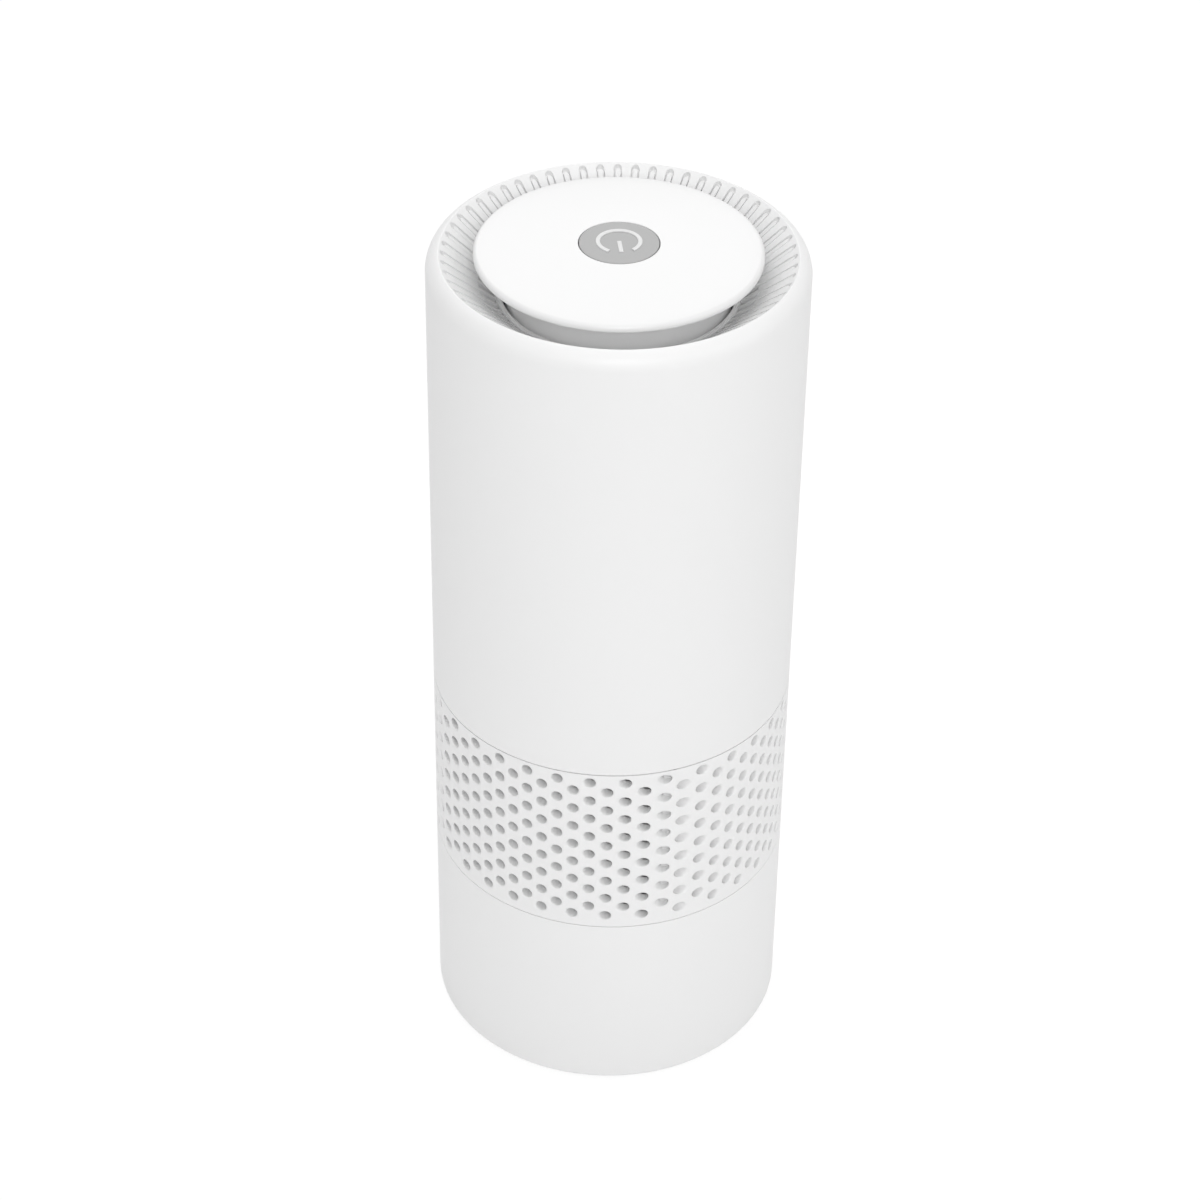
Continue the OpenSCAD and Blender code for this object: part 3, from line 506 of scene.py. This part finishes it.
def bandCell(name, holed, x, z, height, rows):
    # a flat piece of wall facing the front, with or without its hole
    place = {"location": (x * mm, 0, z * mm), "rotation": (quarterTurn, 0, 0)}
    freshStart()
    bpy.ops.mesh.primitive_grid_add(x_subdivisions=2, y_subdivisions=rows, size=1, **place)
    bpy.context.object.scale = (pitchX * mm, height * mm, 1)
    bpy.ops.object.transform_apply(location=False, rotation=True, scale=True)
    if holed:
        bpy.ops.object.mode_set(mode="EDIT")
        choose("VERT", lambda v: abs(v.co.x) < near * mm and abs(v.co.z) < (height / 2 - near) * mm)
        bpy.ops.mesh.delete(type="VERT")
        bpy.ops.mesh.primitive_circle_add(vertices=band["sides"], radius=band["holeRadius"] * mm,
                                          **place)
        bpy.ops.mesh.select_all(action="SELECT")
        bpy.ops.mesh.bridge_edge_loops()
    return settle(name)


def repeatedCell(cell, rows):
    common = {"use_relative_offset": False, "use_constant_offset": True,
              "use_merge_vertices": True, "merge_threshold": tiny * mm}
    applyModifier(cell, "ARRAY", count=band["columns"] // 2,
                  constant_offset_displace=(2 * pitchX * mm, 0, 0), **common)
    if rows > 1:
        applyModifier(cell, "ARRAY", count=rows, constant_offset_displace=(0, 0, -pitchZ * mm),
                      **common)
    return cell


def bandSheet():
    # a quarter of the band laid flat, where every other column starts half a row lower
    cuts, secondColumn = band["cellRows"], firstColumn + pitchX
    bottom = lowRow - (band["rows"] - 1) * pitchZ - pitchZ / 2

    def holes(name, x, z):
        return repeatedCell(bandCell(name, True, x, z, pitchZ, cuts), band["rows"])

    def blanks(name, x, z):
        return repeatedCell(bandCell(name, False, x, z, pitchZ / 2, cuts // 2), 1)

    joined(holes("bandWall", firstColumn, lowRow), [
        holes("highCells", secondColumn, highRow),
        blanks("topBlanks", firstColumn, highRow + pitchZ / 4),
        blanks("bottomBlanks", secondColumn, bottom + pitchZ / 4)])
    editAll()
    bpy.ops.mesh.remove_doubles(threshold=tiny * mm)
    # the rims and the sides are brought to the seams and to the quarter's corners
    top, side = highRow + pitchZ / 2, band["columns"] / 2 * pitchX
    for test, shift in (
            (lambda v: v.co.z > (top - near) * mm, (0, 0, upperSeam - seamGap - top)),
            (lambda v: v.co.z < (bottom + near) * mm, (0, 0, lowerSeam - bottom)),
            (lambda v: v.co.x > (side - near) * mm, (quarterEdge - side, 0, 0)),
            (lambda v: v.co.x < (near - side) * mm, (side - quarterEdge, 0, 0))):
        choose("VERT", test)
        bpy.ops.transform.translate(value=[part * mm for part in shift])
    bpy.ops.mesh.select_all(action="SELECT")
    bpy.ops.transform.translate(value=(0, -2 * bodyRadius * mm, 0))
    return settle("bandWall")


def onEntry(vertex):
    # whether a vertex lies on the outer edge of a hole
    x, y, z = vertex.co / mm
    column = round((x - firstColumn) / pitchX)
    start = highRow if column % 2 else lowRow
    row = round((start - z) / pitchZ)
    away = math.hypot(x - firstColumn - column * pitchX, z - start + row * pitchZ)
    return abs(math.hypot(x, y) - bodyRadius) < tiny and abs(away - band["holeRadius"]) < tiny


def bandQuarter():
    wall = bandSheet()
    # the sheet is laid on the cylinder along the one direction in which its holes are drawn
    freshStart()
    bpy.ops.mesh.primitive_cylinder_add(
        vertices=band["guideSides"], radius=bodyRadius * mm, depth=band["guideHigh"] * mm,
        location=(0, 0, band["guideMiddle"] * mm), rotation=(0, 0, math.pi / band["guideSides"]))
    guide = bpy.context.object
    applyModifier(wall, "SHRINKWRAP", target=guide, wrap_method="PROJECT", use_project_y=True,
                  use_positive_direction=True, use_negative_direction=False)
    bpy.data.objects.remove(guide)
    freshStart()
    wall.select_set(True)
    bpy.context.view_layer.objects.active = wall
    editAll()
    inward = {"value": (0, band["wall"] * mm, 0)}
    bpy.ops.mesh.extrude_region_move(TRANSFORM_OT_translate=inward)
    bpy.ops.mesh.select_all(action="SELECT")
    bpy.ops.mesh.normals_make_consistent(inside=False)
    choose("FACE", lambda f: abs(f.normal.x) > 0.99
           and abs(abs(f.center.x) - quarterEdge * mm) < tiny * mm)
    bpy.ops.mesh.delete(type="FACE")
    choose("VERT", onEntry)
    bpy.ops.mesh.select_mode(type="EDGE")
    bpy.ops.mesh.bevel(offset=band["entryRound"] * mm, segments=2, affect="EDGES")
    bpy.ops.object.mode_set(mode="OBJECT")
    return wall


def arcBlock(name, outer, low, high, angle, middle):
    inner, wide = band["collarIn"] + band["blockInset"], math.radians(angle)
    return turned(name, [(inner, low), (outer, low), (outer, high), (inner, high)], 6, wide,
                  math.radians(middle) - wide / 2)


def buildBand():
    b = band
    quarter = bandQuarter()
    wall = joined(quarter, [copied(quarter, quarterTurn * k) for k in (1, 2, 3)])
    editAll()
    bpy.ops.mesh.remove_doubles(threshold=tiny * mm)
    # the inner corner where two quarters meet is closed with one flat strip
    bpy.ops.mesh.select_all(action="DESELECT")
    bpy.ops.mesh.select_mode(type="EDGE")
    bpy.ops.mesh.select_non_manifold(extend=False, use_wire=False, use_multi_face=False,
                                     use_non_contiguous=False, use_verts=False)
    bpy.ops.mesh.fill()
    bpy.ops.mesh.select_all(action="SELECT")
    bpy.ops.mesh.normals_make_consistent(inside=False)
    bpy.ops.object.mode_set(mode="OBJECT")
    wall.rotation_euler.z = math.radians(b["turn"])
    freshStart()
    wall.select_set(True)
    bpy.ops.object.transform_apply(rotation=True)
    skirtIn, skirtTop = bodyRadius - b["skirtInset"], lowerSeam + b["skirtUp"]
    skirt = turned("skirt", softened([
        (b["collarIn"], skirtLow, b["collarRound"]), (b["skirtRadius"], skirtLow, b["collarRound"]),
        (b["skirtRadius"], lowerSeam), (skirtIn, lowerSeam), (skirtIn, skirtTop),
        (b["collarIn"], skirtTop)], 3), 128)
    spigotIn, spigotLow = bodyRadius - b["spigotInset"], upperSeam - b["spigotDown"]
    spigot = turned("spigot", softened([
        (b["collarIn"], spigotLow), (spigotIn, spigotLow), (spigotIn, upperSeam),
        (b["spigotRadius"], upperSeam), (b["spigotRadius"], spigotTop, b["collarRound"]),
        (b["collarIn"], spigotTop, b["collarRound"])], 3), 128)
    blocks = [skirt, spigot]
    lugLow, tabLow = skirtLow + b["lugUp"], spigotTop - b["tabDown"]
    for k in range(3):
        blocks.append(arcBlock("lug", b["lugRadius"], lugLow, lugLow + b["lugHigh"],
                               b["lugAngle"], 120 * k))
        blocks.append(arcBlock("tab", b["tabRadius"], tabLow, tabLow + b["tabHigh"],
                               b["tabAngle"], 120 * k))
    wall = smoothed(joined(wall, blocks))
    applyModifier(wall, "WEIGHTED_NORMAL", keep_sharp=True)
    wall.name = wall.data.name = "inletBand"
    dressed(wall, finishes["shell"], "housing", "shell", "inlet_band")
    print("band built:", len(wall.data.polygons), "faces")


buildBand()

# upper housing
housing = {"rimRound": 3.6, "rimRadius": 31.2, "edgeRound": 0.16, "edgeShare": 5, "seamRound": 0.06,
           "funnelAngle": 37.7, "visibleEdge": 31.1, "lip": 1.9, "boreUp": 0.3, "ledgeUp": 2,
           "ledgeHigh": 1.6, "ledgeRadius": 30.4, "socketWide": 8.9, "socketHigh": 3.2,
           "socketGap": 0.3, "socketBand": 3, "windowDeep": 6, "windowRound": 0.3}
socketMid = sum(corner.z for corner in reach("usb_socket")) / 2
rimTop = reach("upper_housing")[1].z
slope = math.tan(math.radians(housing["funnelAngle"]))


def funnelHeight(radius):
    # the funnel's surface, which falls inward from the rim
    return rimTop - (housing["rimRadius"] - radius) * slope


def housingOutline():
    h = housing
    rounding, edge, visible = h["rimRound"], h["rimRadius"], h["visibleEdge"]
    edgeAngle = math.acos((edge - bodyRadius + rounding) / rounding)
    centre = (bodyRadius - rounding, rimTop - rounding * math.sin(edgeAngle))
    crown = arcPoints(centre, rounding, 0, math.degrees(edgeAngle) - h["edgeShare"], 16)
    ledge = reach("bulkhead")[0].z + h["ledgeUp"]
    ledgeTop = ledge + h["ledgeHigh"]
    # rings above and below the socket keep the wall's shading even
    return softened([
        (boreRadius, upperSeam), (bodyRadius, upperSeam, h["seamRound"]),
        (bodyRadius, socketMid - h["socketBand"]), (bodyRadius, socketMid + h["socketBand"]),
        *crown, (edge, rimTop, h["edgeRound"]), (visible, funnelHeight(visible)),
        (visible, rimTop - h["lip"]), (boreRadius, centre[1] + h["boreUp"]), (boreRadius, ledgeTop),
        (h["ledgeRadius"], ledgeTop), (h["ledgeRadius"], ledge), (boreRadius, ledge)], 6)


def buildHousing():
    h = housing
    shell = turned("upperHousing", housingOutline(), 192)
    # the socket's window: a block with round ends, cut through the rear wall
    windowRadius = h["socketHigh"] / 2 + h["socketGap"]
    spread = (h["socketWide"] - h["socketHigh"]) / 2
    freshStart()
    bpy.ops.mesh.primitive_cylinder_add(vertices=32, radius=windowRadius * mm,
                                        depth=h["windowDeep"] * mm,
                                        location=(0, bodyRadius * mm, socketMid * mm),
                                        rotation=(quarterTurn, 0, 0))
    bpy.ops.object.transform_apply(location=True, rotation=True)
    bpy.ops.object.mode_set(mode="EDIT")
    for side in (1, -1):
        choose("VERT", lambda v: v.co.x * side > tiny * mm)
        bpy.ops.transform.translate(value=(side * spread * mm, 0, 0))
    cutAway(shell, [settle("window")])
    editAll()

    def onWindow(vertex):
        x, y, z = vertex.co / mm
        away = math.hypot(max(0, abs(x) - spread), z - socketMid)
        return y > 0 and abs(away - windowRadius) < tiny and \
            abs(math.hypot(x, y) - bodyRadius) < tiny

    choose("VERT", onWindow)
    bpy.ops.mesh.select_mode(type="EDGE")
    bpy.ops.mesh.bevel(offset=h["windowRound"] * mm, segments=2, affect="EDGES")
    bpy.ops.object.mode_set(mode="OBJECT")
    smoothed(shell)
    applyModifier(shell, "WEIGHTED_NORMAL", keep_sharp=True)
    dressed(shell, finishes["shell"], "housing", "shell", "upper_housing")
    print("housing built")


buildHousing()

# outlet grille
grille = {"slots": 60, "slotWide": 1.5, "slotOut": 30.9, "slotIn": 21.6, "tipShare": 0.998,
          "openTo": 24.39, "openDeep": 6, "recess": 0.85, "channel": 0.26, "islandSide": 0.06,
          "islandUp": 0.55, "thick": 2.5, "cupIn": 20.5, "cupOut": 21.3, "cupFloor": 2,
          "lipProud": 0.3, "lipRound": 0.2, "footRadius": 29.5, "footBottom": 160.9,
          "outRadius": 31.2, "outTop": 163.1, "outSlant": 0.8}
cupBottom = reach("outlet_grille")[0].z
cupTop = cupBottom + grille["cupFloor"]


def slotCutter():
    # one slot: shallow along its outer half, right through along its inner half
    g = grille
    bottom, top = cupBottom, rimTop + 1
    middle = Vector(((g["slotIn"] + g["slotOut"]) / 2, 0, (bottom + top) / 2))
    freshStart()
    bpy.ops.mesh.primitive_cube_add(size=1, location=middle * mm)
    size = Vector((g["slotOut"] - g["slotIn"], g["slotWide"], top - bottom))
    bpy.context.object.scale = size * mm
    bpy.ops.object.transform_apply(location=True, scale=True)
    editAll()

    def onTip(edge):
        first, second = (cornerOf(index) for index in edge.vertices)
        return min(first.x, second.x) > (g["slotOut"] - tiny) * mm and abs(first.z - second.z) > mm

    # the outer end is rounded
    choose("EDGE", onTip)
    bpy.ops.mesh.bevel(offset=g["tipShare"] * g["slotWide"] / 2 * mm, segments=6, affect="EDGES")
    bpy.ops.mesh.select_all(action="SELECT")
    bpy.ops.mesh.remove_doubles(threshold=tiny * mm)
    # the floor runs along the funnel, and is then opened downward near the cup
    level = Vector((g["slotIn"], 0, funnelHeight(g["slotIn"]) - g["recess"])) * mm
    bpy.ops.mesh.select_all(action="SELECT")
    bpy.ops.mesh.bisect(plane_co=level, plane_no=(-slope, 0, 1), use_fill=True, clear_inner=True)
    bpy.ops.mesh.select_all(action="SELECT")
    openTo = g["openTo"] * mm
    bpy.ops.mesh.bisect(plane_co=(openTo, 0, 0), plane_no=(1, 0, 0))
    choose("FACE", lambda f: f.normal.z < -0.5 and f.center.x < openTo)
    down = {"value": (0, 0, -g["openDeep"] * mm)}
    bpy.ops.mesh.extrude_region_move(TRANSFORM_OT_translate=down)
    # a fine channel is left round the shallow part's floor
    choose("FACE", lambda f: f.normal.z < -0.5 and f.center.x > openTo)
    bpy.ops.mesh.inset(thickness=g["channel"] * mm)
    bpy.ops.mesh.inset(thickness=g["islandSide"] * mm, depth=-g["islandUp"] * mm)
    editAll()
    bpy.ops.mesh.normals_make_consistent(inside=False)
    return settle("slotCutter")


def buildGrille():
    g = grille
    lip = funnelHeight(g["cupOut"])
    lipTop = lip + g["lipProud"]
    edge = housing["visibleEdge"]
    outline = softened([
        (0, cupBottom), (g["cupOut"], cupBottom), (g["cupOut"], lip - g["thick"]),
        (g["footRadius"], g["footBottom"]), (g["outRadius"], g["footBottom"]),
        (g["outRadius"], g["outTop"]), (edge, g["outTop"] + g["outSlant"]),
        (edge, funnelHeight(edge)), (g["cupOut"], lip), (g["cupOut"], lipTop, g["lipRound"]),
        (g["cupIn"], lipTop, g["lipRound"]), (g["cupIn"], cupTop), (0, cupTop)], 3)
    plate = turned("outletGrille", outline, 240)
    first = slotCutter()
    turns = [copied(first, fullTurn * k / g["slots"]) for k in range(1, g["slots"])]
    cutAway(plate, [first, *turns])
    dressed(smoothed(plate), finishes["shell"], "housing", "shell", "outlet_grille")
    print("grille built:", len(plate.data.polygons), "faces")


buildGrille()

# light ring, cap and button
cap = {"radius": 25.2, "edge": 1.4, "rise": 1.3, "rimRound": 0.85, "underRound": 0.45,
       "hole": 7.1, "holeRound": 0.12, "domeRadii": (22.5, 20, 17.5, 15, 12.5, 10, 8.5),
       "skirtOut": 18.0, "skirtIn": 16.8, "ringOut": 19.7, "ringIn": 18.1, "ledgeIn": 16.7,
       "ledgeHigh": 1.2, "bossRing": 14.1, "bossRadius": 2.2, "bossUp": 0.25}
button = {"radius": 6.95, "edgeRound": 0.12, "domeRadii": (6.2, 5, 3.5, 2),
          "flange": 8.15, "flangeHigh": 1, "flangeRounds": (0.2, 0.1),
          "iconRadius": 3.66, "iconLine": 0.78, "iconGap": 68, "iconRound": 0.09,
          "barLength": 3.6, "iconShift": 0.2}
capUnder = reach("light_ring")[1].z
capRim = capUnder + cap["edge"]
boardLow, boardHigh = (corner.z for corner in reach("control_board"))
domeRadius = (cap["radius"] ** 2 + cap["rise"] ** 2) / (2 * cap["rise"])
domeCentre = capRim + cap["rise"] - domeRadius


def domeHeight(radius):
    return domeCentre + math.sqrt(domeRadius ** 2 - radius ** 2)


def buildRing():
    c = cap
    ledge = boardLow - c["ledgeHigh"]
    ring = turned("lightRing", softened([
        (c["ringIn"], cupTop), (c["ringOut"], cupTop), (c["ringOut"], capUnder),
        (c["ringIn"], capUnder), (c["ringIn"], boardLow), (c["ledgeIn"], boardLow),
        (c["ledgeIn"], ledge), (c["ringIn"], ledge)]), 128)
    dressed(smoothed(ring), finishes["neck"], "housing", "light_ring", "light_ring")


def buildCap():
    c = cap
    disc = turned("topDisc", softened([
        (c["hole"], capUnder), (c["skirtIn"], capUnder), (c["skirtIn"], boardHigh),
        (c["skirtOut"], boardHigh), (c["skirtOut"], capUnder),
        (c["radius"], capUnder, c["underRound"]), (c["radius"], capRim, c["rimRound"]),
        *[(radius, domeHeight(radius)) for radius in c["domeRadii"]],
        (c["hole"], domeHeight(c["hole"]), c["holeRound"])], 6), 192)
    bosses = []
    tall = capUnder + c["bossUp"] - cupTop
    for k in range(3):
        turn = math.radians(60 + 120 * k)
        place = Vector((c["bossRing"] * math.cos(turn), c["bossRing"] * math.sin(turn),
                        cupTop + tall / 2))
        freshStart()
        bpy.ops.mesh.primitive_cylinder_add(vertices=32, radius=c["bossRadius"] * mm,
                                            depth=tall * mm, location=place * mm)
        bosses.append(settle("boss"))
    disc = joined(disc, bosses)
    dressed(smoothed(disc), finishes["cap"], "housing", "cap_gloss", "top_disc")


def buildButton():
    b = button
    flange = capUnder - b["flangeHigh"]
    lowRound, highRound = b["flangeRounds"]
    top = turned("powerButton", softened([
        (0, flange), (b["flange"], flange, lowRound), (b["flange"], capUnder, highRound),
        (b["radius"], capUnder), (b["radius"], domeHeight(b["radius"]), b["edgeRound"]),
        *[(radius, domeHeight(radius)) for radius in b["domeRadii"]], (0, domeHeight(0))], 4), 96)
    dressed(smoothed(top), finishes["button"], "button", "button_grey", "power_button")


def buildIcon():
    b = button
    low, high = (corner.z for corner in reach("power_icon"))
    inner, outer = (b["iconRadius"] + half for half in (-b["iconLine"] / 2, b["iconLine"] / 2))
    section = softened([(inner, low), (outer, low), (outer, high, b["iconRound"]),
                        (inner, high, b["iconRound"])], 3)
    sweep = math.radians(360 - b["iconGap"])
    start = -quarterTurn + math.radians(b["iconGap"] / 2)
    symbol = turned("powerIcon", section, 72, sweep, start)
    freshStart()
    bpy.ops.mesh.primitive_cube_add(
        size=1, location=Vector((0, -b["barLength"] / 2, (low + high) / 2)) * mm)
    bpy.context.object.scale = Vector((b["iconLine"], b["barLength"], high - low)) * mm
    bar = settle("bar")
    applyModifier(bar, "BEVEL", width=b["iconRound"] * mm, segments=3)
    symbol = joined(symbol, [bar])
    symbol.location.y = b["iconShift"] * mm
    bpy.ops.object.transform_apply(location=True)
    dressed(smoothed(symbol), finishes["icon"], "button", "icon_light", "power_icon")


buildRing()
buildCap()
buildButton()
buildIcon()
print("cap and button built")


# studio
studio = {"worldLevel": 0.6, "floorSize": 6, "floorTone": 0.9, "floorShare": 0.85,
          "floorGlow": 1.04, "aim": (0, 0, 0.09)}
lamps = {
    "frontLamp": {"power": 3.8, "size": 0.45, "place": (-0.05, -0.95, 0.75)},
    "leftLamp": {"power": 1.15, "size": 0.8, "place": (-0.9, -0.45, 0.6)},
    "rightLamp": {"power": 1.85, "size": 0.8, "place": (0.85, -0.5, 0.6)},
    "topLamp": {"power": 2.95, "size": 0.9, "place": (0, 0.05, 1.15)},
    "backLamp": {"power": 2.65, "size": 0.8, "place": (0, 0.8, 0.8)},
}
shot = {"lens": 99.79, "place": (-0.05953, -0.49079, 0.46251), "pitch": 0.64426,
        "yaw": -0.11592, "roll": 0.01526}


def seenDirectly(recipe):
    # 1 for the rays that should meet plain white: the camera's, and reflections of it
    path = recipe.add("ShaderNodeLightPath")
    seen = path
    for kind in ("Is Glossy Ray", "Is Transmission Ray"):
        ray = Wire(recipe, path.socket.node.outputs[kind])
        seen = recipe.add("ShaderNodeMath", {"operation": "MAXIMUM"}, {0: seen, 1: ray})
    return seen


def buildAir():
    air = Recipe("studioAir", bpy.data.worlds)
    lit = air.add("ShaderNodeBackground", None, {"Strength": studio["worldLevel"]})
    white = air.add("ShaderNodeBackground", None, {"Strength": 1})
    mixed = air.add("ShaderNodeMixShader", None, {0: seenDirectly(air), 1: lit, 2: white})
    air.add("ShaderNodeOutputWorld", None, {"Surface": mixed}, None)
    bpy.context.scene.world = air.material


def buildFloor():
    freshStart()
    bpy.ops.mesh.primitive_plane_add(size=studio["floorSize"])
    floor = bpy.context.object
    floor.name = "studioFloor"
    pale = Recipe("paleFloor")
    paint = pale.add("ShaderNodeBsdfDiffuse", None, {"Color": grey(studio["floorTone"])})
    light = {"Color": grey(1), "Strength": studio["floorGlow"]}
    glow = pale.add("ShaderNodeEmission", None, light)
    share = seenDirectly(pale) * studio["floorShare"]
    mixed = pale.add("ShaderNodeMixShader", None, {0: share, 1: paint, 2: glow})
    pale.add("ShaderNodeOutputMaterial", None, {"Surface": mixed}, None)
    floor.data.materials.append(pale.material)


def buildLamps():
    for name, plan in lamps.items():
        bpy.ops.object.light_add(type="AREA", location=plan["place"])
        lamp = bpy.context.object
        lamp.name = lamp.data.name = name
        lamp.data.energy = plan["power"]
        lamp.data.size = plan["size"]
        aim = Vector(studio["aim"]) - Vector(plan["place"])
        lamp.rotation_euler = aim.to_track_quat("-Z", "Y").to_euler()


def buildCamera():
    bpy.ops.object.camera_add()
    camera = bpy.context.object
    camera.data.lens = shot["lens"]
    camera.data.sensor_width = 36
    camera.data.clip_start = 0.01
    camera.matrix_world = (Matrix.Translation(shot["place"])
                           @ Matrix.Rotation(shot["yaw"], 4, "Z")
                           @ Matrix.Rotation(quarterTurn - shot["pitch"], 4, "X")
                           @ Matrix.Rotation(shot["roll"], 4, "Z"))
    bpy.context.scene.camera = camera


buildAir()
buildFloor()
buildLamps()
buildCamera()
bpy.context.scene.view_settings.view_transform = "Standard"
print("studio ready")
